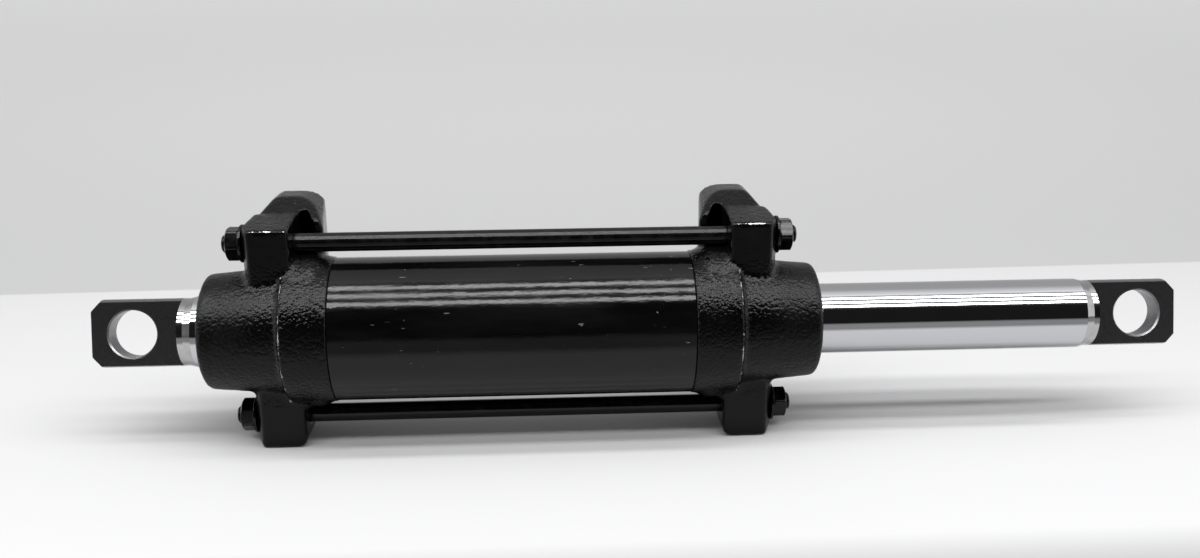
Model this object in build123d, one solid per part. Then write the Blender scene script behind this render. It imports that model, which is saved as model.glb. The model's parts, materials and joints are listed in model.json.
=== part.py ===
from build123d import *
from math import cos, pi, sin, radians
import os

# Double-acting through-rod cylinder with two tie rods.
# Everything is built round the rod axis, which is the X axis here, with the barrel's centre
# at zero. The last step moves it so that the mounting face is the plane Y = 0.

# Barrel tube
TUBE_OD = 76.2
TUBE_BORE = 63.5
TUBE_HALF_LENGTH = 94.0   # each head butts against an end of the tube

# Rod and its two flat eyes
ROD_DIA = 38.0
NECK_DIA = 36.0
EYE_SPACING = 540.0
EYE_BORE_DIA = 25.0
EYE_THICKNESS = 12.7
EYE_END = 21.0            # eye centre to the end of the tongue
EYE_SHOULDER = 26.0       # eye centre to the milled shoulder
EYE_CORNER_CHAMFER = 4.5
LEAD_IN_START = 29.0      # eye centre to the thin end of the seal lead-in taper
LEAD_IN_LENGTH = 4.0
EYE_TILT = 13.0           # degrees that the eyes are turned about the rod axis at rest
STROKE = 140.0
REST_SHIFT = STROKE / 2   # the rod is stored at the right-hand end of its stroke

# Cast heads, measured along +X from the barrel's centre
SPIGOT_TIP = 83.2
COLLAR_RADIUS = 38.7      # nearly flush with the tube
COLLAR_CHAMFER = 0.6      # at the seam with the tube
COLLAR_SHOULDER = 118.5   # step from the collar down to the neck
FLARE_FULL = 103.0        # the collar swells towards each ear and is full height from here
FLARE_CENTRE = 15.0       # height of the swelling's own axis above the rod axis
FLARE_RADIUS = 27.3
HEAD_END = 161.5
NECK_RADIUS = 30.5        # at the outer end of the head
CAST_DRAFT = 5.0          # degrees of taper on the head's neck
NECK_RIM_FILLET = 3.0

# Ears of the heads: a boss round each tie rod and a foot behind it
EAR_INNER = 113.5
LOWER_EAR_INNER = 111.5
EAR_OUTER = 139.4
EAR_FRONT = 17.0
EAR_FRONT_HEIGHT = 58.0   # the upper boss rises towards the foot behind it
EAR_BACK_HEIGHT = 62.0
LOWER_EAR_HEIGHT = 61.0
BOSS_SEAT_FRONT = 6.0     # the flat nut seat ends here and the outer face leans in
BOSS_LEAN = 4.5
UPPER_BOSS_BACK = 14.0
LOWER_BOSS_BACK = 19.0
FACE_OFFSET = 45.0        # rod axis to mounting face
FOOT_EDGE = 20.0          # nearest foot edge to the rod axis, measured in Z
FOOT_INNER = 99.5         # at its front; the inboard side tapers to the next value at the back
FOOT_BACK_INNER = 104.5
FOOT_HEIGHT = 67.0
FOOT_TOP_OUTER = 128.0    # the flat top ends here and a sloping shoulder runs down from it
FOOT_SHOULDER_HEIGHT = 54.0
FOOT_FRONT = 6.6
FOOT_LEAN_FROM = 58.0     # its front slopes back above here, carrying on from the boss's top
FOOT_SETBACK = 27.0       # where that slope meets the foot's top
FOOT_INNER_ROUND = 17.0
POCKET_INNER = 104.8      # cast pocket between the foot's inboard rim and the boss
POCKET_OUTER = 112.9
POCKET_TOP = 61.7
POCKET_BOTTOM = 38.0
POCKET_ROUND = 7.5
POCKET_DEPTH = 30.0
ARM_FRONT = 8.0           # arms that carry the mounting holes, behind the bosses
ARM_OUTER = 136.0
ARM_HEIGHT = 48.0

# Mounting and oil connections
MOUNT_HOLE_X = 124.0
MOUNT_HOLE_Z = 34.0
MOUNT_TAP_DRILL = 10.2    # for an M12 thread
MOUNT_TAP_DEPTH = 24.0
PORT_X = 126.0
PORT_BOSS_RADIUS = 13.0
PORT_TOP = 44.0
PORT_TAP_DRILL = 12.9     # for a 9/16-18 straight thread
PORT_BOTTOM = 26.0
PASSAGE_DIA = 4.5
PASSAGE_RADIUS = 25.1     # distance of the axial oil passage from the rod axis

# Tie rods and their fasteners
TIE_RADIUS = 47.7         # distance of each tie rod from the rod axis
TIE_DIA = 10.0
TIE_LENGTH = 301.0
TIE_HOLE_DIA = 10.5
WASHER_OD = 20.0
WASHER_THICKNESS = 1.6
NUT_FLATS = 16.0
NUT_HEIGHT = 7.0
THREAD_SLACK = 0.02

# Head bores
BUSH_RADIUS = 21.5
BUSH_INNER_END = 86.0
BUSH_OUTER_END = 122.0
SEAL_GROOVE = (134.0, 142.0)
SEAL_GROOVE_RADIUS = 25.0
WIPER_SEAT = 153.0
WIPER_SEAT_RADIUS = 25.0
ROD_PASSAGE_RADIUS = 19.25
ORING_GROOVE = (86.0, 91.0)
ORING_GROOVE_RADIUS = 28.6
ORING_SECTION = 3.1
BACKUP_WIDTH = 1.3
RUNNING_FIT = 0.03
STATIC_FIT = 0.02

# Piston and what it carries
PISTON_LENGTH = 26.0
PISTON_RADIUS = 31.45
PISTON_SEAL_WIDTH = 6.0
PISTON_SEAL_ROOT = 27.4
PISTON_SEAL_SPLIT = 29.6
WEAR_RING_WIDTH = 5.0
WEAR_RING_ROOT = 29.2
WEAR_RING_OFFSET = 7.2
WEAR_RING_GAP = 2.0
RETAINER_RECESS = 2.5
RETAINER_RECESS_RADIUS = 22.6
RETAINER_THICKNESS = 1.8
RETAINER_ROOT = 17.6
RETAINER_RADIUS = 21.6
BORE_ORING_SECTION = 2.4
BORE_ORING_WIDTH = 3.4

TUBE_R = TUBE_OD / 2
BORE_R = TUBE_BORE / 2
ROD_R = ROD_DIA / 2
NECK_R = NECK_DIA / 2
SPIGOT_R = BORE_R - 0.05
PASSAGE_R = PASSAGE_DIA / 2
REACH = 400.0             # longer than anything it has to cut

os.makedirs("parts", exist_ok=True)


def turned(points):
    """Solid of revolution about the rod axis from (x, radius) points."""
    return revolve(make_face(Polyline(*points, close=True)), Axis.X)


def ring(x_from, x_to, r_in, r_out):
    """Plain ring between two stations on the rod axis."""
    return turned([(x_from, r_in), (x_to, r_in), (x_to, r_out), (x_from, r_out)])


def oring(x_centre, r_centre, section):
    """Round-section ring on the rod axis."""
    return revolve(Pos(x_centre, r_centre) * Circle(section / 2), Axis.X)


def rod_along(direction, radius, start, length):
    """Cylinder from a start point along a direction."""
    return extrude(Plane(start, z_dir=direction) * Circle(radius), length)


def barrel_tube():
    tube = ring(-TUBE_HALF_LENGTH, TUBE_HALF_LENGTH, BORE_R, TUBE_R)
    return chamfer(tube.edges().filter_by(GeomType.CIRCLE), 0.5)


def rounded_outline(points, plane, radii):
    """Face with given corner radii (zero for a sharp corner) on a plane."""
    face = make_face(Polyline(*points, close=True))
    for point, radius in zip(points, radii):
        if radius:
            corner = face.vertices().sort_by_distance(point)[0]
            face = fillet(corner, radius)
    return plane * face


# Sketch planes: side view (y, z), front view (x, z) and plan view (x, y)
SIDE = Plane(origin=(0, 0, 0), x_dir=(0, 1, 0), z_dir=(1, 0, 0))
FRONT = Plane(origin=(0, 0, 0), x_dir=(1, 0, 0), z_dir=(0, -1, 0))
PLAN = Plane.XY


def three_view_block(side, front, plan):
    """Common part of a side, a front and a plan outline, each (points, corner radii)."""
    block = extrude(rounded_outline(side[0], SIDE, side[1]), REACH, both=True)
    block &= extrude(rounded_outline(front[0], FRONT, front[1]), REACH, both=True)
    return block & extrude(rounded_outline(plan[0], PLAN, plan[1]), REACH, both=True)


def rectangle(u_from, u_to, v_from, v_to):
    """Corners of a rectangle, starting at its low corner and going round by way of high v."""
    return [(u_from, v_from), (u_from, v_to), (u_to, v_to), (u_to, v_from)]


def boss_plan(inner, back):
    """Plan outline of a tie-rod boss, whose outer face leans in towards the front."""
    points = [
        (inner, -EAR_FRONT),
        (inner, back),
        (EAR_OUTER, back),
        (EAR_OUTER, -BOSS_SEAT_FRONT),
        (EAR_OUTER - BOSS_LEAN, -EAR_FRONT),
    ]
    return points, (2, 0, 8, 8, 3)


def upper_boss():
    side_points = [
        (-EAR_FRONT, FOOT_EDGE),
        (-EAR_FRONT, EAR_FRONT_HEIGHT),
        (UPPER_BOSS_BACK, EAR_BACK_HEIGHT),
        (UPPER_BOSS_BACK, FOOT_EDGE),
    ]
    front = rectangle(EAR_INNER, EAR_OUTER, FOOT_EDGE, EAR_BACK_HEIGHT), (0, 2.5, 8, 0)
    side = side_points, (0, 1.2, 5, 0)
    return three_view_block(side, front, boss_plan(EAR_INNER, UPPER_BOSS_BACK))


def upper_foot():
    """Rounded foot behind the upper boss, with a cast pocket beside the boss."""
    side_points = [
        (FOOT_FRONT, FOOT_EDGE),
        (FOOT_FRONT, FOOT_LEAN_FROM),
        (FOOT_SETBACK, FOOT_HEIGHT),
        (FACE_OFFSET, FOOT_HEIGHT),
        (FACE_OFFSET, FOOT_EDGE),
    ]
    side = side_points, (0, 4, 8, 1.5, 4)
    front_points = [
        (FOOT_INNER, FOOT_EDGE),
        (FOOT_INNER, FOOT_HEIGHT),
        (FOOT_TOP_OUTER, FOOT_HEIGHT),
        (EAR_OUTER, FOOT_SHOULDER_HEIGHT),
        (EAR_OUTER, FOOT_EDGE),
    ]
    front = front_points, (0, FOOT_INNER_ROUND, 7, 9, 0)
    plan_points = [
        (FOOT_INNER, FOOT_FRONT),
        (FOOT_BACK_INNER, FACE_OFFSET),
        (EAR_OUTER, FACE_OFFSET),
        (EAR_OUTER, FOOT_FRONT),
    ]
    foot = three_view_block(side, front, (plan_points, (2.5, 3, 5, 0)))
    pocket_corners = rectangle(POCKET_INNER, POCKET_OUTER, POCKET_BOTTOM, POCKET_TOP)
    pocket = rounded_outline(pocket_corners, FRONT, (0, POCKET_ROUND, 0, 0))
    return foot - extrude(pocket, POCKET_DEPTH, both=True)


def lower_boss():
    side = rectangle(-EAR_FRONT, LOWER_BOSS_BACK, -LOWER_EAR_HEIGHT, -FOOT_EDGE), (1.5, 0, 0, 8)
    front = rectangle(LOWER_EAR_INNER, EAR_OUTER, -LOWER_EAR_HEIGHT, -FOOT_EDGE), (5, 0, 0, 5)
    return three_view_block(side, front, boss_plan(LOWER_EAR_INNER, LOWER_BOSS_BACK))


def mounting_arm():
    """Arm from the back of a boss to the mounting face."""
    side = rectangle(ARM_FRONT, FACE_OFFSET, FOOT_EDGE, ARM_HEIGHT), (0, 0, 1.5, 4)
    front = rectangle(EAR_INNER, ARM_OUTER, FOOT_EDGE, ARM_HEIGHT), (4, 4, 4, 4)
    plan = rectangle(EAR_INNER, ARM_OUTER, ARM_FRONT, FACE_OFFSET), (0, 1.5, 4, 0)
    return three_view_block(side, front, plan)


def flare():
    """Swelling of the collar towards an ear, round an axis of its own."""
    tip = TUBE_HALF_LENGTH + COLLAR_CHAMFER
    profile = [
        (tip, 0),
        (tip, COLLAR_RADIUS - FLARE_CENTRE),
        (FLARE_FULL, FLARE_RADIUS),
        (EAR_INNER + 1, FLARE_RADIUS),
        (EAR_INNER + 1, 0),
    ]
    return Pos(0, 0, FLARE_CENTRE) * turned(profile)


def head_casting():
    """Round body of the right-hand head: collar, neck and pilot spigot."""
    draft_length = HEAD_END - COLLAR_SHOULDER
    neck_root = NECK_RADIUS + draft_length * sin(radians(CAST_DRAFT))
    body = turned([
        (SPIGOT_TIP, 0),
        (SPIGOT_TIP, SPIGOT_R),
        (TUBE_HALF_LENGTH, SPIGOT_R),
        (TUBE_HALF_LENGTH, COLLAR_RADIUS - COLLAR_CHAMFER),
        (TUBE_HALF_LENGTH + COLLAR_CHAMFER, COLLAR_RADIUS),
        (COLLAR_SHOULDER, COLLAR_RADIUS),
        (COLLAR_SHOULDER, neck_root),
        (HEAD_END, NECK_RADIUS),
        (HEAD_END, 0),
    ])
    rim = body.edges().filter_by(GeomType.CIRCLE).filter_by(
        lambda e: abs(e.center().X - HEAD_END) < 0.1 and abs(e.radius - NECK_RADIUS) < 0.1
    )
    return fillet(rim, NECK_RIM_FILLET)


def head_bores():
    """Everything that is machined out of a head on the rod axis."""
    cuts = ring(SPIGOT_TIP - 1, HEAD_END + 1, 0, ROD_PASSAGE_RADIUS)
    cuts += ring(SPIGOT_TIP - 1, BUSH_OUTER_END, 0, BUSH_RADIUS + STATIC_FIT)
    cuts += ring(*SEAL_GROOVE, 0, SEAL_GROOVE_RADIUS)
    cuts += ring(WIPER_SEAT, HEAD_END + 1, 0, WIPER_SEAT_RADIUS)
    cuts += ring(*ORING_GROOVE, ORING_GROOVE_RADIUS, BORE_R)
    return cuts


def head_drillings():
    """Tie-rod holes, tapped mounting holes, oil port and its passage."""
    start = EAR_INNER - 20
    cuts = rod_along((1, 0, 0), TIE_HOLE_DIA / 2, (start, 0, TIE_RADIUS), REACH)
    cuts += rod_along((1, 0, 0), TIE_HOLE_DIA / 2, (start, 0, -TIE_RADIUS), REACH)
    for z in (MOUNT_HOLE_Z, -MOUNT_HOLE_Z):
        mouth = (MOUNT_HOLE_X, FACE_OFFSET, z)
        cuts += rod_along((0, -1, 0), MOUNT_TAP_DRILL / 2, mouth, MOUNT_TAP_DEPTH)
    port_mouth = (PORT_X, PORT_TOP, 0)
    cuts += rod_along((0, -1, 0), PORT_TAP_DRILL / 2, port_mouth, PORT_TOP - PORT_BOTTOM)
    passage_start = (SPIGOT_TIP - 1, PASSAGE_RADIUS, 0)
    cuts += rod_along((1, 0, 0), PASSAGE_R, passage_start, PORT_X - SPIGOT_TIP + 1)
    return cuts


def port_boss():
    root = NECK_RADIUS - 4
    return rod_along((0, 1, 0), PORT_BOSS_RADIUS, (PORT_X, root, 0), PORT_TOP - root)


def right_head():
    upper = upper_boss() + upper_foot() + mounting_arm() + flare()
    lower = lower_boss() + mirror(mounting_arm() + flare(), about=Plane.XY)
    return head_casting() + upper + lower + port_boss() - head_bores() - head_drillings()


def tie_rod(z):
    rod = rod_along((1, 0, 0), TIE_DIA / 2, (-TIE_LENGTH / 2, 0, z), TIE_LENGTH)
    return chamfer(rod.edges().filter_by(GeomType.CIRCLE), 1.0)


def washer(z):
    disc = rod_along((1, 0, 0), WASHER_OD / 2, (EAR_OUTER, 0, z), WASHER_THICKNESS)
    return disc - rod_along((1, 0, 0), TIE_HOLE_DIA / 2, (EAR_OUTER - 1, 0, z), WASHER_THICKNESS + 2)


def nut(z):
    """Hexagon nut with its corners chamfered on the outer face."""
    base = EAR_OUTER + WASHER_THICKNESS
    plane = Plane(origin=(base, 0, z), x_dir=(0, 0, 1), z_dir=(1, 0, 0))
    corner_radius = NUT_FLATS / 2 / cos(pi / 6)
    body = extrude(plane * RegularPolygon(corner_radius, 6), NUT_HEIGHT)
    crown = corner_radius - NUT_FLATS / 2
    envelope = extrude(plane * Circle(corner_radius), NUT_HEIGHT)
    outer_rim = envelope.edges().filter_by(GeomType.CIRCLE).sort_by(Axis.X)[-1]
    envelope = chamfer(outer_rim, crown * 0.6, crown * 1.1)
    bore = rod_along((1, 0, 0), TIE_DIA / 2 + THREAD_SLACK, (base - 1, 0, z), NUT_HEIGHT + 2)
    return (body & envelope) - bore


def rod_bushing():
    return ring(BUSH_INNER_END, BUSH_OUTER_END, ROD_R + RUNNING_FIT, BUSH_RADIUS)


def rod_seal():
    """U-cup whose open side faces the pressure."""
    x0, x1 = SEAL_GROOVE[0] + 0.1, SEAL_GROOVE[1] - BACKUP_WIDTH - 0.2
    r_in, r_out = ROD_R + RUNNING_FIT, SEAL_GROOVE_RADIUS - STATIC_FIT
    mid = (r_in + r_out) / 2
    return turned([
        (x0, r_in), (x0, mid - 1.6), (x0 + 3.2, mid), (x0, mid + 1.6), (x0, r_out),
        (x1, r_out), (x1, r_in),
    ])


def rod_backup_ring():
    x1 = SEAL_GROOVE[1] - 0.1
    return ring(x1 - BACKUP_WIDTH, x1, ROD_R + RUNNING_FIT, SEAL_GROOVE_RADIUS - STATIC_FIT)


def rod_wiper():
    """Scraper with a lip that reaches out to the end of the neck."""
    r_in, r_out = ROD_R + RUNNING_FIT, WIPER_SEAT_RADIUS - STATIC_FIT
    x0, x1, tip = WIPER_SEAT + 0.1, HEAD_END - 3.0, HEAD_END - 0.6
    return turned([
        (x0, r_in + 0.8), (x0, r_out), (x1, r_out), (x1, r_in + 3.0), (tip, r_in + 1.0), (tip, r_in),
        (x1, r_in), (x1 - 1.5, r_in + 0.8),
    ])


def head_oring():
    radius = ORING_GROOVE_RADIUS + STATIC_FIT + ORING_SECTION / 2
    return oring(ORING_GROOVE[0] + ORING_SECTION / 2 + 0.1, radius, ORING_SECTION)


def head_backup_ring():
    x1 = ORING_GROOVE[1] - 0.1
    return ring(x1 - BACKUP_WIDTH, x1, ORING_GROOVE_RADIUS + STATIC_FIT, SPIGOT_R)


def piston():
    half = PISTON_LENGTH / 2
    body = ring(-half, half, ROD_R + RUNNING_FIT, PISTON_RADIUS)
    rims = body.edges().filter_by(GeomType.CIRCLE).filter_by(lambda e: e.radius > PISTON_RADIUS - 0.1)
    body = chamfer(rims, 1.0)
    half_seal, half_wear = PISTON_SEAL_WIDTH / 2, WEAR_RING_WIDTH / 2
    body -= ring(-half_seal, half_seal, PISTON_SEAL_ROOT, REACH)
    for centre in (-WEAR_RING_OFFSET, WEAR_RING_OFFSET):
        body -= ring(centre - half_wear, centre + half_wear, WEAR_RING_ROOT, REACH)
    body -= ring(half - RETAINER_RECESS, half, 0, RETAINER_RECESS_RADIUS)
    body -= ring(-half, -half + RETAINER_RECESS, 0, RETAINER_RECESS_RADIUS)
    half_bore = BORE_ORING_WIDTH / 2
    return body - ring(-half_bore, half_bore, 0, ROD_R + 0.1 + BORE_ORING_SECTION)


def piston_bore_oring():
    return oring(0, ROD_R + RUNNING_FIT + BORE_ORING_SECTION / 2, BORE_ORING_SECTION)


def piston_energiser():
    half = PISTON_SEAL_WIDTH / 2 - 0.2
    return ring(-half, half, PISTON_SEAL_ROOT + STATIC_FIT, PISTON_SEAL_SPLIT - STATIC_FIT)


def piston_seal():
    half = PISTON_SEAL_WIDTH / 2 - 0.1
    return ring(-half, half, PISTON_SEAL_SPLIT, BORE_R - RUNNING_FIT)


def wear_ring(centre):
    """Guide strip in its groove, with a gap where its ends meet."""
    half = WEAR_RING_WIDTH / 2 - 0.1
    strip = ring(centre - half, centre + half, WEAR_RING_ROOT + STATIC_FIT, BORE_R - RUNNING_FIT)
    return strip - Pos(centre, 0, BORE_R) * Box(WEAR_RING_WIDTH, WEAR_RING_GAP, 10)


def piston_retainer(side):
    """Open spring ring that sits in a rod groove, sunk in the piston's end."""
    outer = side * (PISTON_LENGTH / 2 - 0.2)
    inner = outer - side * RETAINER_THICKNESS
    clip = ring(min(inner, outer), max(inner, outer), RETAINER_ROOT + STATIC_FIT, RETAINER_RADIUS)
    return clip - Pos((inner + outer) / 2, 0, -ROD_R) * Box(4, 5, 12)


def piston_rod():
    """Through rod with a flat, cross-bored tongue milled on each end."""
    half = EYE_SPACING / 2
    tip = half + EYE_END
    profile = []
    for side in (-1, 1):
        stations = [
            (side * (half - LEAD_IN_START - LEAD_IN_LENGTH), ROD_R),
            (side * (half - LEAD_IN_START), NECK_R),
            (side * (tip - EYE_CORNER_CHAMFER), NECK_R),
            (side * tip, NECK_R - EYE_CORNER_CHAMFER),
            (side * tip, 0),
        ]
        profile += stations if side > 0 else stations[::-1]
    rod = turned(profile)
    for side in (-1, 1):
        shoulder = side * (half - EYE_SHOULDER)
        for face in (-1, 1):
            depth = NECK_R
            middle = face * (EYE_THICKNESS + depth) / 2
            rod -= Pos(shoulder + side * 40, middle, 0) * Box(80, depth, 2 * NECK_R + 2)
        bore = rod_along((0, 1, 0), EYE_BORE_DIA / 2, (side * half, -NECK_R, 0), NECK_DIA)
        rod -= bore
        mouths = rod.edges().filter_by(GeomType.CIRCLE).filter_by(
            lambda e: abs(e.radius - EYE_BORE_DIA / 2) < 0.01 and e.center().X * side > 0
        )
        rod = chamfer(mouths, 0.8)
    for side in (-1, 1):
        outer = side * (PISTON_LENGTH / 2 - 0.15)
        inner = outer - side * (RETAINER_THICKNESS + 0.1)
        rod -= ring(min(inner, outer), max(inner, outer), RETAINER_ROOT, ROD_R + 1)
    return Rot(-EYE_TILT, 0, 0) * rod


def mirrored(solid):
    return mirror(solid, about=Plane.YZ)


def write(name, solid):
    """Store a node in the part's frame, where the mounting face is Y = 0."""
    placed = Pos(0, -FACE_OFFSET, 0) * solid
    placed.label = name
    export_step(placed, os.path.join("parts", name + ".step"))


def write_pair(name, solid):
    write("right_" + name, solid)
    write("left_" + name, mirrored(solid))


write("barrel_tube", barrel_tube())
write_pair("head", right_head())
write_pair("rod_bushing", rod_bushing())
write_pair("rod_seal", rod_seal())
write_pair("rod_backup_ring", rod_backup_ring())
write_pair("rod_wiper", rod_wiper())
write_pair("head_oring", head_oring())
write_pair("head_backup_ring", head_backup_ring())
for level, height in (("upper", TIE_RADIUS), ("lower", -TIE_RADIUS)):
    write(level + "_tie_rod", tie_rod(height))
    write_pair(level + "_washer", washer(height))
    write_pair(level + "_nut", nut(height))

at_rest = Pos(REST_SHIFT, 0, 0)
write("piston_rod", at_rest * piston_rod())
write("piston", at_rest * piston())
write("piston_bore_oring", at_rest * piston_bore_oring())
write("piston_energiser", at_rest * piston_energiser())
write("piston_seal", at_rest * piston_seal())
for side_name, side in (("left", -1), ("right", 1)):
    write(side_name + "_wear_ring", at_rest * wear_ring(side * WEAR_RING_OFFSET))
    write(side_name + "_piston_retainer", at_rest * piston_retainer(side))
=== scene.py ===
import bmesh
import bpy
import json
import math
import numpy as np
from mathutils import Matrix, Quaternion, Vector, noise


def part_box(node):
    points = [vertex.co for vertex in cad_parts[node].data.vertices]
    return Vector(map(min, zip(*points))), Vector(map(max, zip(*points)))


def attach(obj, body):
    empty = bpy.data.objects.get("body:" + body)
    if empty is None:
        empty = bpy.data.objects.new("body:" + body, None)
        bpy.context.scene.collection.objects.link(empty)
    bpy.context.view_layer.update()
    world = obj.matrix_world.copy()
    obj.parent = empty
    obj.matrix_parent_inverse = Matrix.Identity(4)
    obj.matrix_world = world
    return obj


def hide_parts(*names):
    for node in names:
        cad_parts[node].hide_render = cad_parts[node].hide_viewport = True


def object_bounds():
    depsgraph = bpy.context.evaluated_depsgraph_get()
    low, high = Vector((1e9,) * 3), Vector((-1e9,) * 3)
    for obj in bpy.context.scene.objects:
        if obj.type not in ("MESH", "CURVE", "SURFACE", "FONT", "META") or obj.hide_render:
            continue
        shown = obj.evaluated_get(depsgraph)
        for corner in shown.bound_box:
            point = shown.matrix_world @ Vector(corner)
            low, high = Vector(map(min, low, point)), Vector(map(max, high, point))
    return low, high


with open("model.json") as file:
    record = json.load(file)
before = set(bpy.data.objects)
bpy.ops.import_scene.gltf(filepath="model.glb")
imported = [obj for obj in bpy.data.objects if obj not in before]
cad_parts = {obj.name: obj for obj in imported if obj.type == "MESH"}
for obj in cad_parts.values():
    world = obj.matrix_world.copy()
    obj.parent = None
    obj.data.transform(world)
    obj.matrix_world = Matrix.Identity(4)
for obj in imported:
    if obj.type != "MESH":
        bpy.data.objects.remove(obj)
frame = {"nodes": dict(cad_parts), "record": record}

cad_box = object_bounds()
nodes = frame["nodes"]

# ---------------------------------------------------------------- dimensions, in metres
MM = 0.001
tube_low, tube_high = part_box("barrel_tube")
head_low, head_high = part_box("right_head")
AXIS_Y = (tube_low[1] + tube_high[1]) / 2          # the rod axis lies at this Y, with Z = 0
SEAM_X = tube_high[0]
COLLAR_RADIUS = AXIS_Y - head_low[1]
COLLAR_STEP_X = 118.5 * MM
HEAD_END_X = head_high[0]
BOSS_FRONT = 17 * MM                               # from the rod axis to the boss's front face
BOSS_FRONT_TOP = 58 * MM
BOSS_WORN_X = (114.3 * MM, 132.5 * MM)             # stretch of the boss's top front edge that has rubbed bare
NUT_SEAT_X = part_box("right_upper_washer")[0][0]
UPPER_TIE_Z = sum(corner[2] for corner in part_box("upper_tie_rod")) / 2
TIE_RADIUS = (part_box("upper_tie_rod")[1][2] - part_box("upper_tie_rod")[0][2]) / 2
TIE_END_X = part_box("upper_tie_rod")[1][0]
EYE_HALF_SPACING = 270 * MM
ROD_CENTRE_X = sum(corner[0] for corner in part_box("piston_rod")) / 2
EYE_SHOULDER = 26 * MM                             # from an eye's centre to its milled shoulder
LEAD_IN = 33 * MM                                  # and to the chrome's end


# ---------------------------------------------------------------- node graph helper
class Graph:
    """Short calls for building a node tree."""

    def __init__(self, tree):
        self.tree = tree

    def put(self, value, socket):
        if hasattr(value, "links") or isinstance(value, bpy.types.NodeSocket):
            self.tree.links.new(value, socket)
        else:
            socket.default_value = value

    def node(self, kind, inputs=None, **settings):
        made = self.tree.nodes.new(kind)
        for name, value in settings.items():
            setattr(made, name, value)
        for name, value in (inputs or {}).items():
            self.put(value, made.inputs[name])
        return made

    def math(self, operation, a, b=0.0, c=0.0, clamp=False):
        made = self.node("ShaderNodeMath", operation=operation, use_clamp=clamp)
        for index, value in enumerate((a, b, c)):
            if len(made.inputs) > index:
                self.put(value, made.inputs[index])
        return made.outputs[0]

    def add(self, a, b):
        return self.math("ADD", a, b)

    def mul(self, a, b):
        return self.math("MULTIPLY", a, b)

    def span(self, value, low, high, to_low=0.0, to_high=1.0):
        """Value carried from one range to another, and held at its ends."""
        made = self.node("ShaderNodeMapRange", {"Value": value, "From Min": low, "From Max": high,
                                                "To Min": to_low, "To Max": to_high})
        return made.outputs["Result"]

    def noise(self, vector, scale, detail=3.0, rough=0.55, distortion=0.0):
        made = self.node("ShaderNodeTexNoise", {"Vector": vector, "Scale": scale, "Detail": detail,
                                                "Roughness": rough, "Distortion": distortion})
        return made.outputs["Fac"]

    def cells(self, vector, scale, feature="F1"):
        made = self.node("ShaderNodeTexVoronoi", {"Vector": vector, "Scale": scale}, feature=feature)
        return made.outputs["Distance"]

    def place(self):
        """The piece's own coordinates: x, y from the rod axis, z, and the whole vector."""
        vector = self.node("ShaderNodeTexCoord").outputs["Object"]
        split = self.node("ShaderNodeSeparateXYZ", {"Vector": vector})
        y = self.math("SUBTRACT", split.outputs["Y"], AXIS_Y)
        return split.outputs["X"], y, split.outputs["Z"], vector

    def stretched(self, vector, scale):
        return self.node("ShaderNodeMapping", {"Vector": vector, "Scale": scale}).outputs["Vector"]

    def radius(self, y, z):
        return self.math("SQRT", self.add(self.mul(y, y), self.mul(z, z)))

    def colour(self, factor, first, second):
        made = self.node("ShaderNodeMix", data_type="RGBA")
        self.put(factor, made.inputs["Factor"])
        for name, value in (("A", first), ("B", second)):
            socket = [s for s in made.inputs if s.name == name and s.type == "RGBA"][0]
            self.put(value if isinstance(value, bpy.types.NodeSocket) else (*value, 1.0), socket)
        return [s for s in made.outputs if s.type == "RGBA"][0]

    def bump(self, height, distance, strength=1.0, normal=None):
        inputs = {"Height": height, "Distance": distance, "Strength": strength}
        if normal is not None:
            inputs["Normal"] = normal
        return self.node("ShaderNodeBump", inputs).outputs["Normal"]


def new_material(name):
    material = bpy.data.materials.new(name)
    material.use_nodes = True
    return material, Graph(material.node_tree), material.node_tree.nodes["Principled BSDF"]


# ---------------------------------------------------------------- paints and metals
PAINT = (0.0012, 0.0012, 0.0014)
PAINT_DUSTY = (0.0042, 0.0042, 0.0044)
CAST_DUSTY = (0.0024, 0.0024, 0.0026)
CHROME = (0.55, 0.555, 0.57)
PAINT_CHIP = (0.16, 0.155, 0.15)
BARE_STEEL = (0.42, 0.42, 0.43)
PAINT_SHEEN = 0.28                                 # specular level of the black gloss
CAST_SHEEN = 0.17                                  # and of the castings' paint


def tube_paint():
    """Smooth black gloss with fine orange peel, light rubs and a few chips."""
    material, g, shader = new_material("tube_paint")
    vector = g.place()[-1]
    haze = g.noise(g.stretched(vector, (14, 60, 60)), 1.0, 5.0, 0.6)
    rub = g.noise(g.stretched(vector, (60, 900, 900)), 1.0, 3.0, 0.6)
    speck = g.span(g.noise(vector, 520.0, 2.0), 0.735, 0.76)
    scratch = g.span(g.noise(g.stretched(vector, (150, 900, 480)), 1.0, 1.0), 0.74, 0.755)
    worn_area = g.span(g.noise(vector, 60.0, 1.0), 0.54, 0.62)
    chips = g.mul(g.math("MAXIMUM", speck, scratch), worn_area)
    base = g.colour(g.span(haze, 0.4, 0.75), PAINT, PAINT_DUSTY)
    g.put(g.colour(g.mul(chips, 0.5), base, PAINT_CHIP), shader.inputs["Base Color"])
    shader.inputs["Specular IOR Level"].default_value = PAINT_SHEEN
    rough = g.add(g.span(haze, 0.3, 0.7, 0.06, 0.13), g.span(rub, 0.5, 0.8, 0.0, 0.10))
    g.put(g.add(rough, g.mul(chips, 0.3)), shader.inputs["Roughness"])
    wave = g.bump(g.noise(g.stretched(vector, (35, 60, 60)), 1.0, 1.0), 0.00010)
    blister = g.bump(g.noise(g.stretched(vector, (150, 420, 420)), 1.0, 2.0), 0.00004, 1.0, wave)
    peel = g.bump(g.noise(vector, 900.0, 2.0), 0.000022, 1.0, blister)
    g.put(g.bump(g.math("SUBTRACT", 1.0, chips), 0.00006, 1.0, peel), shader.inputs["Normal"])
    return material


def gap_to(g, first, second):
    """Distance in a plane, from two offsets."""
    return g.math("SQRT", g.add(g.mul(first, first), g.mul(second, second)))


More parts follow.
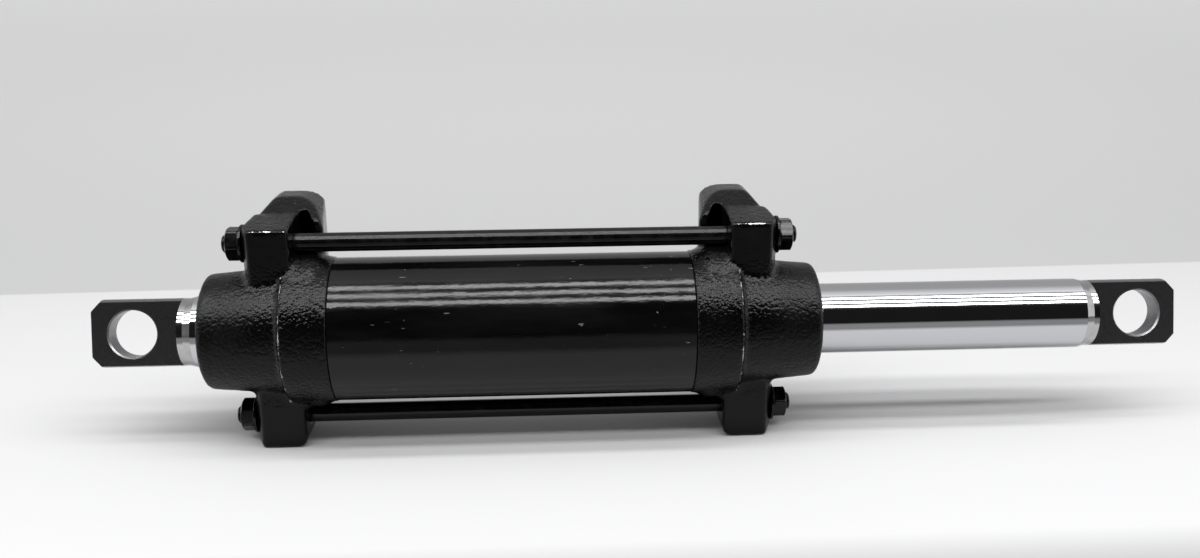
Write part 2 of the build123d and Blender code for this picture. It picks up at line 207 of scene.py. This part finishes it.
def worn_edges(g, along, y, z, radius, vector):
    """One where paint has rubbed off: along the collar's step and the bosses' top front edges."""
    wander = g.noise(vector, 300.0, 3.0, 0.75)
    broken = g.noise(vector, 95.0, 2.0, 0.6)
    step_gap = gap_to(g, g.math("SUBTRACT", along, COLLAR_STEP_X - 0.0003),
                      g.math("SUBTRACT", radius, COLLAR_RADIUS - 0.0005))
    step_reach = g.mul(g.span(wander, 0.38, 0.68, 0.0, 0.0011), g.span(broken, 0.38, 0.5, 0.35, 1.0))
    front_only = g.math("LESS_THAN", y, 0.004)
    step_line = g.mul(g.math("LESS_THAN", step_gap, step_reach), front_only)
    edge_gap = gap_to(g, g.add(y, BOSS_FRONT - 0.0005), g.math("SUBTRACT", z, BOSS_FRONT_TOP - 0.0004))
    edge_reach = g.mul(g.span(wander, 0.42, 0.66, 0.0, 0.0007), g.span(broken, 0.36, 0.48))
    in_stretch = g.mul(g.math("GREATER_THAN", along, BOSS_WORN_X[0]),
                       g.math("LESS_THAN", along, BOSS_WORN_X[1]))
    edge_line = g.mul(g.math("LESS_THAN", edge_gap, edge_reach), in_stretch)
    return g.math("MAXIMUM", step_line, edge_line)


def pebbled(g, vector):
    """Height of the sand-cast skin: wavering round grains."""
    ripple = g.node("ShaderNodeTexNoise", {"Vector": vector, "Scale": 420.0}).outputs["Color"]
    warp = g.node("ShaderNodeVectorMath", {0: ripple, "Scale": 0.0016}, operation="SCALE").outputs["Vector"]
    moved = g.node("ShaderNodeVectorMath", {0: vector, 1: warp}, operation="ADD").outputs["Vector"]
    cell = g.cells(moved, 560.0)
    grain = g.math("SUBTRACT", 1.0, g.mul(cell, cell))
    return g.add(grain, g.mul(g.noise(vector, 900.0, 1.0), 0.6))


def casting_paint():
    """Black paint over sand-cast iron: pebbled, with bare metal rubbed through on sharp edges."""
    material, g, shader = new_material("casting_paint")
    x, y, z, vector = g.place()
    along = g.math("ABSOLUTE", x)
    radius = g.radius(y, z)
    pebble = pebbled(g, vector)
    fine = g.noise(vector, 2100.0, 2.0, 0.6)
    patch = g.noise(vector, 70.0, 3.0, 0.6)
    scrape = g.noise(g.stretched(vector, (60, 60, 1500)), 1.0, 2.0, 0.6)
    round_body = g.span(radius, 0.0405, 0.0435, 1.0, 0.0)
    boss_top = g.span(z, BOSS_FRONT_TOP - 0.0015, BOSS_FRONT_TOP + 0.0005)
    rugged = g.span(g.math("MAXIMUM", round_body, boss_top), 0.0, 1.0, 0.35, 1.0)
    satin = g.span(along, 0.126, 0.142)             # the neck dulls towards its end
    bare = worn_edges(g, along, y, z, radius, vector)
    base = g.colour(g.span(patch, 0.45, 0.75), PAINT, CAST_DUSTY)
    g.put(g.colour(bare, base, BARE_STEEL), shader.inputs["Base Color"])
    g.put(g.mul(bare, 0.85), shader.inputs["Metallic"])
    shader.inputs["Specular IOR Level"].default_value = CAST_SHEEN
    gloss = g.add(g.span(patch, 0.35, 0.7, 0.10, 0.16), g.mul(satin, 0.18))
    g.put(g.add(gloss, g.mul(bare, 0.2)), shader.inputs["Roughness"])
    pebbles = g.bump(pebble, g.mul(rugged, 0.00026))
    marks = g.bump(scrape, 0.000015, 1.0, pebbles)
    g.put(g.bump(fine, 0.00002, 1.0, marks), shader.inputs["Normal"])
    return material


def fastener_paint():
    """Thick glossy black over steel bar and nuts."""
    material, g, shader = new_material("fastener_paint")
    vector = g.place()[-1]
    streak = g.noise(g.stretched(vector, (40, 700, 700)), 1.0, 3.0, 0.6)
    patch = g.noise(vector, 160.0, 2.0)
    tint = g.colour(g.span(patch, 0.45, 0.8), PAINT, (0.009, 0.0085, 0.008))
    g.put(tint, shader.inputs["Base Color"])
    shader.inputs["Specular IOR Level"].default_value = PAINT_SHEEN
    g.put(g.span(streak, 0.3, 0.8, 0.10, 0.24), shader.inputs["Roughness"])
    wave = g.bump(patch, 0.00008)
    g.put(g.bump(g.noise(vector, 1500.0, 2.0), 0.00001, 1.0, wave), shader.inputs["Normal"])
    return material


def rod_steel():
    """Hard chrome between the lead-in tapers; turned and milled bare steel on both ends, the milled tongues
    painted darker as painted shade for the dark room they reflect.
    """
    material, g, shader = new_material("rod_steel")
    x, *_, vector = g.place()
    from_centre = g.math("ABSOLUTE", g.math("SUBTRACT", x, ROD_CENTRE_X))
    chromed = g.math("LESS_THAN", from_centre, EYE_HALF_SPACING - LEAD_IN)
    tongue = g.math("GREATER_THAN", from_centre, EYE_HALF_SPACING - EYE_SHOULDER + 0.0001)
    turned = g.noise(g.stretched(vector, (5200, 6, 6)), 1.0, 2.0, 0.6)
    polish = g.noise(g.stretched(vector, (90, 1200, 1200)), 1.0, 2.0, 0.6)
    patch = g.noise(vector, 90.0, 4.0, 0.65)
    bare = g.colour(g.span(patch, 0.35, 0.75), (0.50, 0.50, 0.50), (0.36, 0.355, 0.35))
    # painted shade: the tongues' flats get a darker steel colour standing in for their reflection of the dark
    # room
    dark = g.colour(g.span(patch, 0.35, 0.7), (0.20, 0.20, 0.205), (0.12, 0.12, 0.125))
    steel = g.colour(tongue, bare, dark)
    g.put(g.colour(chromed, steel, CHROME), shader.inputs["Base Color"])
    shader.inputs["Metallic"].default_value = 1.0
    milled = g.add(0.20, g.mul(patch, 0.16))
    smooth = g.add(0.07, g.mul(patch, 0.06))
    steel_rough = g.add(g.mul(tongue, milled), g.mul(g.math("SUBTRACT", 1.0, tongue), smooth))
    chrome_rough = g.span(polish, 0.3, 0.8, 0.035, 0.07)
    made = g.add(g.mul(chromed, chrome_rough), g.mul(g.math("SUBTRACT", 1.0, chromed), steel_rough))
    g.put(made, shader.inputs["Roughness"])
    marks = g.bump(turned, g.mul(g.math("SUBTRACT", 1.0, chromed), 0.000006))
    g.put(g.bump(polish, 0.0000004, 1.0, marks), shader.inputs["Normal"])
    return material


def grained(name, light, dark, rough, scale, depth, metallic=0.0):
    """A uniform stuff with mottled colour, uneven gloss and fine surface grain."""
    material, g, shader = new_material(name)
    vector = g.place()[-1]
    patch = g.noise(vector, scale, 4.0, 0.6)
    g.put(g.colour(g.span(patch, 0.35, 0.7), light, dark), shader.inputs["Base Color"])
    g.put(g.span(patch, 0.3, 0.7, rough * 0.8, rough * 1.25), shader.inputs["Roughness"])
    shader.inputs["Metallic"].default_value = metallic
    g.put(g.bump(g.noise(vector, scale * 8.0, 2.0), depth), shader.inputs["Normal"])
    return material


tube_black = tube_paint()
casting_black = casting_paint()
fastener_black = fastener_paint()
steel = rod_steel()
bronze = grained("bronze", (0.56, 0.36, 0.16), (0.42, 0.26, 0.11), 0.32, 180.0, 0.00001, 1.0)
spring = grained("spring_steel", (0.22, 0.22, 0.24), (0.12, 0.12, 0.13), 0.35, 240.0, 0.00001, 1.0)
iron = grained("piston_iron", (0.34, 0.34, 0.35), (0.24, 0.24, 0.25), 0.38, 200.0, 0.00002, 1.0)
rubber = grained("seal_rubber", (0.012, 0.012, 0.013), (0.022, 0.022, 0.022), 0.55, 220.0, 0.00003)
polymer = grained("seal_polymer", (0.05, 0.09, 0.15), (0.035, 0.06, 0.10), 0.42, 220.0, 0.00002)
backup = grained("backup_polymer", (0.72, 0.71, 0.66), (0.62, 0.60, 0.55), 0.5, 260.0, 0.00002)
wiper = grained("wiper_polymer", (0.018, 0.018, 0.02), (0.03, 0.03, 0.032), 0.48, 220.0, 0.00003)
phenolic = grained("wear_polymer", (0.16, 0.075, 0.04), (0.10, 0.05, 0.03), 0.6, 300.0, 0.00004)

LOOKS = {
    "tube_paint": tube_black, "casting_paint": casting_black, "fastener": fastener_black, "chrome": steel,
    "bronze": bronze, "spring_steel": spring, "piston_iron": iron, "seal_rubber": rubber,
    "seal_polymer": polymer, "backup_polymer": backup, "wiper_polymer": wiper, "wear_polymer": phenolic,
}
for part in frame["record"]["subparts"]:
    mesh = nodes[part["node"]].data
    mesh.materials.clear()
    mesh.materials.append(LOOKS[part["material_slot"]])


# ---------------------------------------------------------------- pieces
def mesh_object(name, vertices, faces, material):
    mesh = bpy.data.meshes.new(name)
    mesh.from_pydata([tuple(v) for v in vertices], [], faces)
    mesh.validate()
    mesh.materials.append(material)
    piece = bpy.data.objects.new(name, mesh)
    bpy.context.collection.objects.link(piece)
    return piece


def fit_out(piece, node, body):
    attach(piece, body)
    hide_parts(node)
    for polygon in piece.data.polygons:
        polygon.use_smooth = True


def lathe(name, rings, material, closed_tube=False):
    """Closed skin through rings of points; the ends are fanned unless the rings close on themselves."""
    count = len(rings[0])
    vertices = [point for ring in rings for point in ring]
    faces = []
    pairs = len(rings) if closed_tube else len(rings) - 1
    for i in range(pairs):
        j = (i + 1) % len(rings)
        for k in range(count):
            m = (k + 1) % count
            faces.append((i * count + k, j * count + k, j * count + m, i * count + m))
    if not closed_tube:
        faces.append(tuple(range(count)))
        last = (len(rings) - 1) * count
        faces.append(tuple(last + k for k in range(count))[::-1])
    piece = mesh_object(name, vertices, faces, material)
    outward(piece)
    return piece


def outward(piece):
    work = bmesh.new()
    work.from_mesh(piece.data)
    bmesh.ops.recalc_face_normals(work, faces=work.faces)
    work.to_mesh(piece.data)
    work.free()


THREAD_PITCH = 1.5 * MM
THREAD_LENGTH = 13 * MM
THREAD_DEPTH = 0.75 * MM
THREAD_RUNOUT = 0.4 * MM
TIP_CHAMFER = 1.1 * MM
NUT_FLATS, NUT_HEIGHT = 16 * MM, 7 * MM
NUT_CORNER = 1.1 * MM           # how far a nut's corners stand out past its flats
WASHER_OUTER, WASHER_INNER = 10 * MM, 5.25 * MM
WASHER_THICKNESS = 1.6 * MM
AROUND = 64                     # points round a tie rod


def tie_rod(name, z_axis):
    """Smooth bar with a cut thread and a chamfered tip at each end."""
    half = TIE_END_X
    plain = half - THREAD_LENGTH
    stations = list(np.arange(0, THREAD_LENGTH, THREAD_PITCH / 8))
    inner = [plain - THREAD_RUNOUT, plain - 30 * MM, 60 * MM, 30 * MM, 0.0]
    right = [half - s for s in stations] + inner
    places = right + [-x for x in right[-2::-1]]
    rings = []
    for x in places:
        to_tip = half - abs(x)
        ring = []
        for k in range(AROUND):
            turn = 2 * math.pi * k / AROUND
            phase = (x / THREAD_PITCH - k / AROUND) % 1.0
            cut = THREAD_DEPTH * abs(2 * phase - 1) if to_tip < THREAD_LENGTH - 0.2 * MM else 0.0
            radius = min(TIE_RADIUS - cut, TIE_RADIUS - TIP_CHAMFER + to_tip)
            ring.append((x, AXIS_Y + radius * math.cos(turn), z_axis + radius * math.sin(turn)))
        rings.append(ring)
    return lathe(name, rings, fastener_black)


def hexagon_radius(turn, flats):
    corner = (turn % (math.pi / 3)) - math.pi / 6
    return flats / 2 / math.cos(corner)


def nut(name, side, z_axis, turned):
    """Hexagon nut, chamfered on both faces, with a countersunk bore."""
    flats, height = NUT_FLATS, NUT_HEIGHT
    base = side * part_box("right_upper_nut")[0][0]
    crown = flats / 2 - 0.35 * MM
    steps = [0.0, 0.15, 0.3, 0.45, 0.6, 0.75, 0.9, 1.1]
    along = [s * MM for s in steps] + [height / 2] + [height - s * MM for s in steps[::-1]]
    rings = []

    def ring_at(x, radius_of):
        made = []
        for k in range(96):
            turn = 2 * math.pi * k / 96
            radius = radius_of(turn)
            made.append((base + side * x, AXIS_Y + radius * math.sin(turn + turned),
                         z_axis + radius * math.cos(turn + turned)))
        return made

    bore = TIE_RADIUS + 0.03 * MM
    rings.append(ring_at(0.6 * MM, lambda t: bore))
    rings.append(ring_at(0.0, lambda t: bore + 0.6 * MM))
    for x in along:
        reach = crown + 1.7 * min(x, height - x)
        limit = min(reach, flats / 2 + NUT_CORNER)
        rings.append(ring_at(x, lambda t: min(hexagon_radius(t + math.pi / 6, flats), limit)))
    rings.append(ring_at(height, lambda t: bore + 0.6 * MM))
    rings.append(ring_at(height - 0.6 * MM, lambda t: bore))
    return lathe(name, rings, fastener_black, closed_tube=True)


def washer(name, side, z_axis):
    """Flat washer with rolled edges."""
    low, high = 0.0, WASHER_THICKNESS
    outer, inner, edge = WASHER_OUTER, WASHER_INNER, 0.3 * MM
    section = [(low, inner + edge), (low, outer - edge),
               (low + edge * 0.3, outer - edge * 0.3), (low + edge, outer),
               (high - edge, outer), (high - edge * 0.3, outer - edge * 0.3), (high, outer - edge),
               (high, inner + edge), (high - edge, inner), (low + edge, inner)]
    rings = []
    for x, radius in section:
        rings.append([(side * (NUT_SEAT_X + x), AXIS_Y + radius * math.cos(2 * math.pi * k / 72),
                       z_axis + radius * math.sin(2 * math.pi * k / 72)) for k in range(72)])
    return lathe(name, rings, fastener_black, closed_tube=True)


for level, z_axis in (("upper", UPPER_TIE_Z), ("lower", -UPPER_TIE_Z)):
    fit_out(tie_rod(f"threaded_{level}_tie_rod", z_axis), f"{level}_tie_rod", "barrel")
    for side_name, side in (("left", -1), ("right", 1)):
        turned = {"upper": 0.06, "lower": 0.35}[level] * side
        fit_out(nut(f"hex_{side_name}_{level}_nut", side, z_axis, turned),
                f"{side_name}_{level}_nut", "barrel")
        fit_out(washer(f"flat_{side_name}_{level}_washer", side, z_axis),
                f"{side_name}_{level}_washer", "barrel")


# ---------------------------------------------------------------- castings
BORE_RADIUS = 25.25 * MM            # wiper seat at the outer end
BORE_FLOOR_X = 153 * MM
TIE_HOLE_RADIUS = 5.45 * MM
TIE_HOLE_FROM_X, TIE_HOLE_DEPTH = 108 * MM, 36 * MM
NUT_SEAT_RADIUS = 10.8 * MM
MOUNT_HOLE_X, MOUNT_HOLE_Z = 124 * MM, 34 * MM
PORT_X = 126 * MM
VOXEL = 0.95 * MM
SMOOTH_STEPS = 6     # rounds every edge a little
LUMP_SINK = 0.06 * MM   # keeps the lumps inside the CAD outline
FILL_STEPS = 20      # then only the inside corners


def remeshed(node_name, size):
    """Even quad skin of a CAD node, as vertex and face arrays."""
    source = bpy.data.objects.new("casting_work", nodes[node_name].data.copy())
    bpy.context.collection.objects.link(source)
    modifier = source.modifiers.new("skin", "REMESH")
    modifier.mode = "VOXEL"
    modifier.voxel_size = size
    graph = bpy.context.evaluated_depsgraph_get()
    skin = bpy.data.meshes.new_from_object(source.evaluated_get(graph))
    bpy.data.objects.remove(source)
    points = np.empty(len(skin.vertices) * 3)
    skin.vertices.foreach_get("co", points)
    edges = np.empty(len(skin.edges) * 2, dtype=int)
    skin.edges.foreach_get("vertices", edges)
    return skin, points.reshape(-1, 3), edges.reshape(-1, 2)


def vertex_normals(skin, points):
    skin.vertices.foreach_set("co", points.ravel())
    skin.update()
    normals = np.empty(len(skin.vertices) * 3)
    skin.vertices.foreach_get("normal", normals)
    return normals.reshape(-1, 3)


def neighbour_mean(points, edges):
    total = np.zeros_like(points)
    np.add.at(total, edges[:, 0], points[edges[:, 1]])
    np.add.at(total, edges[:, 1], points[edges[:, 0]])
    degree = np.bincount(edges.ravel(), minlength=len(points)).astype(float)
    return total / degree[:, None]


def machined_mask(points):
    """Zero on bores and turned seats, one on the raw casting."""
    x = np.abs(points[:, 0])
    y = points[:, 1] - AXIS_Y
    z = points[:, 2]
    radius = np.hypot(y, z)
    free = np.ones(len(points))
    free[radius < 26.2 * MM] = 0
    free[x < SEAM_X + 0.8 * MM] = 0
    free[np.hypot(y, np.abs(z) - UPPER_TIE_Z) < 6.6 * MM] = 0
    holes = np.hypot(x - MOUNT_HOLE_X, np.abs(z) - MOUNT_HOLE_Z) < 6.4 * MM
    free[holes & (y > 18 * MM)] = 0
    free[y > -AXIS_Y - 0.5 * MM] = 0
    port = np.hypot(x - PORT_X, z) < 8 * MM
    free[port & (y > 24 * MM)] = 0
    return free


def filleted(skin, points, edges):
    """Fills the inside corners with cast radii and takes the bite off the outside ones."""
    free = machined_mask(points)[:, None]
    for step in range(SMOOTH_STEPS + FILL_STEPS):
        normals = vertex_normals(skin, points)
        shift = neighbour_mean(points, edges) - points
        hollow = np.sum(shift * normals, axis=1, keepdims=True)
        moves = (hollow > 0.03 * VOXEL) | (step < SMOOTH_STEPS)
        points = points + shift * np.where(moves, 0.55, 0.0) * free
    return points, free


def lumpy(skin, points, free, seed):
    """Raw cast skin: gentle unevenness over a few millimetres."""
    normals = vertex_normals(skin, points)
    offset = Vector((seed * 3.7, seed * 1.9, 0))
    amount = np.array([
        0.10 * MM * noise.noise(Vector(p) * 210 + offset) + 0.05 * MM * noise.noise(Vector(p) * 520 + offset)
        for p in points])
    return points + normals * (amount - LUMP_SINK)[:, None] * free


def cutter(name, start, direction, radii):
    """Turned cutter along a direction from (distance, radius) stations."""
    axis = Vector(direction)
    first = axis.orthogonal().normalized()
    second = axis.cross(first)
    rings = []
    for distance, radius in radii:
        centre = Vector(start) + axis * distance
        rings.append([centre + (first * math.cos(t) + second * math.sin(t)) * radius
                      for t in (2 * math.pi * k / 72 for k in range(72))])
    return lathe(name, rings, iron)


def dimple_cutter():
    """Shallow pit in the right collar's top front."""
    turn = math.radians(72)
    direction = Vector((0, -math.cos(turn), math.sin(turn)))
    start = Vector((102.8 * MM, AXIS_Y, 0)) + direction * (COLLAR_RADIUS - 1.1 * MM)
    return cutter("cut", start, direction, [
        (0, 0.4 * MM), (0.3 * MM, 1.0 * MM), (0.8 * MM, 1.4 * MM), (3 * MM, 1.7 * MM)])


def head_cutters(side):
    """Machined features cut crisply into the cast skin."""
    cuts = [dimple_cutter()] if side > 0 else []
    far = HEAD_END_X + 2 * MM
    cuts.append(cutter("cut", (side * far, AXIS_Y, 0), (-side, 0, 0), [
        (0, 27.4 * MM), (2 * MM, 25.9 * MM), (2.9 * MM, BORE_RADIUS), (far - BORE_FLOOR_X, BORE_RADIUS)]))
    for z in (UPPER_TIE_Z, -UPPER_TIE_Z):
        cuts.append(cutter("cut", (side * TIE_HOLE_FROM_X, AXIS_Y, z), (side, 0, 0), [
            (0, TIE_HOLE_RADIUS), (TIE_HOLE_DEPTH, TIE_HOLE_RADIUS)]))
        cuts.append(cutter("cut", (side * NUT_SEAT_X, AXIS_Y, z), (side, 0, 0), [
            (0, NUT_SEAT_RADIUS), (3 * MM, NUT_SEAT_RADIUS)]))
    for z in (MOUNT_HOLE_Z, -MOUNT_HOLE_Z):
        cuts.append(cutter("cut", (side * MOUNT_HOLE_X, 1 * MM, z), (0, -1, 0), [
            (0, 7.2 * MM), (1 * MM, 6.3 * MM), (2.1 * MM, 5.2 * MM),
            (25 * MM, 5.2 * MM), (28 * MM, 0.2 * MM)]))
    cuts.append(cutter("cut", (side * PORT_X, 0, 0), (0, -1, 0), [
        (0, 8.7 * MM), (1 * MM, 8.6 * MM), (3.2 * MM, 6.6 * MM), (19 * MM, 6.6 * MM), (22 * MM, 0.5 * MM)]))
    return cuts


def without_folds(mesh):
    """Joins touching points and takes out triangles lying back to back on the same three."""
    work = bmesh.new()
    work.from_mesh(mesh)
    bmesh.ops.remove_doubles(work, verts=work.verts, dist=0.001 * MM)
    bmesh.ops.triangulate(work, faces=work.faces)
    work.verts.index_update()
    sharing = {}
    for face in work.faces:
        sharing.setdefault(frozenset(v.index for v in face.verts), []).append(face)
    folds = [face for faces in sharing.values() if len(faces) > 1 for face in faces]
    bmesh.ops.delete(work, geom=folds, context="FACES_ONLY")
    bare = [edge for edge in work.edges if not edge.link_faces]
    bmesh.ops.delete(work, geom=bare, context="EDGES")
    work.to_mesh(mesh)
    work.free()


def cast_head(side_name, side, skin_data, seed):
    skin, points, free = skin_data
    points = lumpy(skin, points, free, seed)
    vertex_normals(skin, points)
    mesh = skin.copy()
    mesh.name = f"cast_{side_name}_head"
    mesh.materials.clear()
    mesh.materials.append(casting_black)
    if side < 0:
        work = bmesh.new()
        work.from_mesh(mesh)
        bmesh.ops.scale(work, vec=(-1, 1, 1), verts=work.verts)
        bmesh.ops.reverse_faces(work, faces=work.faces)
        work.to_mesh(mesh)
        work.free()
    piece = bpy.data.objects.new(mesh.name, mesh)
    bpy.context.collection.objects.link(piece)
    for tool in head_cutters(side):
        modifier = piece.modifiers.new("machine", "BOOLEAN")
        modifier.operation = "DIFFERENCE"
        modifier.object = tool
        modifier.solver = "EXACT"
        graph = bpy.context.evaluated_depsgraph_get()
        made = bpy.data.meshes.new_from_object(piece.evaluated_get(graph))
        piece.modifiers.clear()
        piece.data = made
        bpy.data.objects.remove(tool)
    piece.data.name = piece.name
    without_folds(piece.data)
    return piece


skin, points, edges = remeshed("right_head", VOXEL)
points, free = filleted(skin, points, edges)
for side_name, side, seed in (("right", 1, 1.0), ("left", -1, 2.0)):
    head = cast_head(side_name, side, (skin, points, free), seed)
    fit_out(head, f"{side_name}_head", "barrel")

# ---------------------------------------------------------------- floor, light, camera
FLOOR_SPAN = 14.0
TABLE_BACK = 0.303                # from the rod axis to the table top's far edge, with a grey backdrop beyond
TABLE_BACK_SLOPE = 0.03
TABLE_FRONT = -0.16               # and to its near edge
TABLE_WHITE = (0.45, 0.45, 0.454)
FRONT_GREY = (0.16, 0.16, 0.162)
BACKDROP_NEAR = (0.325, 0.325, 0.328)
BACKDROP_FAR_PAINTED = (0.79, 0.79, 0.795)
BACKDROP_REACH = 1.35             # over this distance the backdrop's colour is painted brighter, painted light that makes up for the lamps' falling off
BACKDROP_PAINTED_GLOW = 0.18              # and a painted glow, an emission with no lamp behind it, lifts it a little at the far end of it


def floor_material():
    """Pale table top between two straight edges, darker grey before the near edge, and beyond the far edge a
    backdrop painted brighter and glowing with distance: painted light against the lamps' falling off.
    """
    material, g, shader = new_material("floor")
    x, y, _, vector = g.place()
    mottle = g.noise(vector, 3.0, 2.0)
    white = g.colour(mottle, [tone * 0.98 for tone in TABLE_WHITE], TABLE_WHITE)
    # painted light: the backdrop's colour and emission rise with distance to make up for the lamps' falling
    # off
    far = g.math("POWER", g.mul(y, 1 / BACKDROP_REACH), 2.0)
    painted_lift = g.math("SUBTRACT", 1.0, g.math("DIVIDE", 1.0, g.add(far, 1.0)))
    backdrop = g.colour(painted_lift, BACKDROP_NEAR, BACKDROP_FAR_PAINTED)
    past_edge = g.math("SUBTRACT", y, g.mul(x, TABLE_BACK_SLOPE))
    behind = g.span(past_edge, TABLE_BACK - 0.002, TABLE_BACK + 0.002)
    before = g.span(y, TABLE_FRONT - 0.03, TABLE_FRONT + 0.03, 1.0, 0.0)
    g.put(g.colour(before, g.colour(behind, white, backdrop), FRONT_GREY), shader.inputs["Base Color"])
    shader.inputs["Emission Color"].default_value = (1.0, 1.0, 1.0, 1.0)
    g.put(g.mul(g.mul(painted_lift, behind), BACKDROP_PAINTED_GLOW), shader.inputs["Emission Strength"])
    shader.inputs["Roughness"].default_value = 0.85
    shader.inputs["Specular IOR Level"].default_value = 0.1
    return material


FLOOR_Z = cad_box[0][2]
corners = [(-1, -1), (1, -1), (1, 1), (-1, 1)]
floor = mesh_object("floor", [(x * FLOOR_SPAN, y * FLOOR_SPAN, FLOOR_Z) for x, y in corners],
                    [(0, 1, 2, 3)], floor_material())

# brightness of the room by angle round the rod axis: 0 is the front horizon, 90 overhead, 180 the back one
ROOM_LEVELS = [(0, 0.015), (46, 0.015), (50, 0.12), (54, 0.4), (90, 0.4), (95, 1.4), (100, 1.1),
               (107, 0.95), (114, 0.75), (122, 0.55), (150, 0.5), (180, 0.5)]
ROOM_PEAK = 1.4
SIDE_LEVEL = 1.6                  # the room beyond both ends of the rod

world = bpy.data.worlds.new("studio")
bpy.context.scene.world = world
world.use_nodes = True
g = Graph(world.node_tree)
direction = g.node("ShaderNodeTexCoord").outputs["Generated"]
split = g.node("ShaderNodeSeparateXYZ", {"Vector": direction})
angle = g.math("ARCTAN2", split.outputs["Z"], g.mul(split.outputs["Y"], -1.0))
ramp = g.node("ShaderNodeValToRGB", {"Fac": g.span(angle, 0.0, math.pi)})
elements = ramp.color_ramp.elements
while len(elements) < len(ROOM_LEVELS):
    elements.new(0.5)
for element, (degrees, level) in zip(elements, ROOM_LEVELS):
    element.position = degrees / 180
    element.color = (level / ROOM_PEAK, level / ROOM_PEAK, level / ROOM_PEAK * 1.01, 1)
background = world.node_tree.nodes["Background"]
sideways = g.span(g.math("ABSOLUTE", split.outputs["X"]), 0.68, 0.88)
upward = g.math("GREATER_THAN", split.outputs["Z"], 0.0)
ends = [SIDE_LEVEL / ROOM_PEAK] * 3
g.put(g.colour(g.mul(sideways, upward), ramp.outputs["Color"], ends), background.inputs["Color"])
background.inputs["Strength"].default_value = ROOM_PEAK

STRIP_RADIANCE = 13.0
STRIP_DISTANCE = 1.4
STRIP_WIDTH = 0.145
STRIP_LENGTH = 3.2
STRIP_ANGLES = {"strip_back": 83.0, "strip_middle": 68.8, "strip_front": 55.0}   # above the front horizon


def strip(name, degrees):
    """Long tube light parallel to the barrel."""
    turn = math.radians(degrees)
    place = Vector((0, AXIS_Y - STRIP_DISTANCE * math.cos(turn), STRIP_DISTANCE * math.sin(turn)))
    data = bpy.data.lights.new(name, "AREA")
    data.shape = "RECTANGLE"
    data.size, data.size_y = STRIP_LENGTH, STRIP_WIDTH
    data.energy = STRIP_RADIANCE * math.pi * STRIP_LENGTH * STRIP_WIDTH
    lamp = bpy.data.objects.new(name, data)
    lamp.location = place
    lamp.rotation_euler = (Vector((0, AXIS_Y, 0)) - place).to_track_quat("-Z", "Y").to_euler()
    bpy.context.collection.objects.link(lamp)


for strip_name, degrees in STRIP_ANGLES.items():
    strip(strip_name, degrees)

CAMERA_PLACE = Vector((0.0150, -0.6395, 0.1928))
CAMERA_TARGET = Vector((0.0461, AXIS_Y, 0.0247))
CAMERA_ROLL = math.radians(-0.31)
cam_data = bpy.data.cameras.new("camera")
cam_data.sensor_width = 36.0
cam_data.lens = 34.69
camera = bpy.data.objects.new("camera", cam_data)
camera.location = CAMERA_PLACE
camera.rotation_mode = "QUATERNION"
aim = (CAMERA_TARGET - CAMERA_PLACE).to_track_quat("-Z", "Y")
camera.rotation_quaternion = aim @ Quaternion((0, 0, 1), CAMERA_ROLL)
bpy.context.collection.objects.link(camera)
bpy.context.scene.camera = camera
bpy.context.scene.view_settings.view_transform = "Standard"
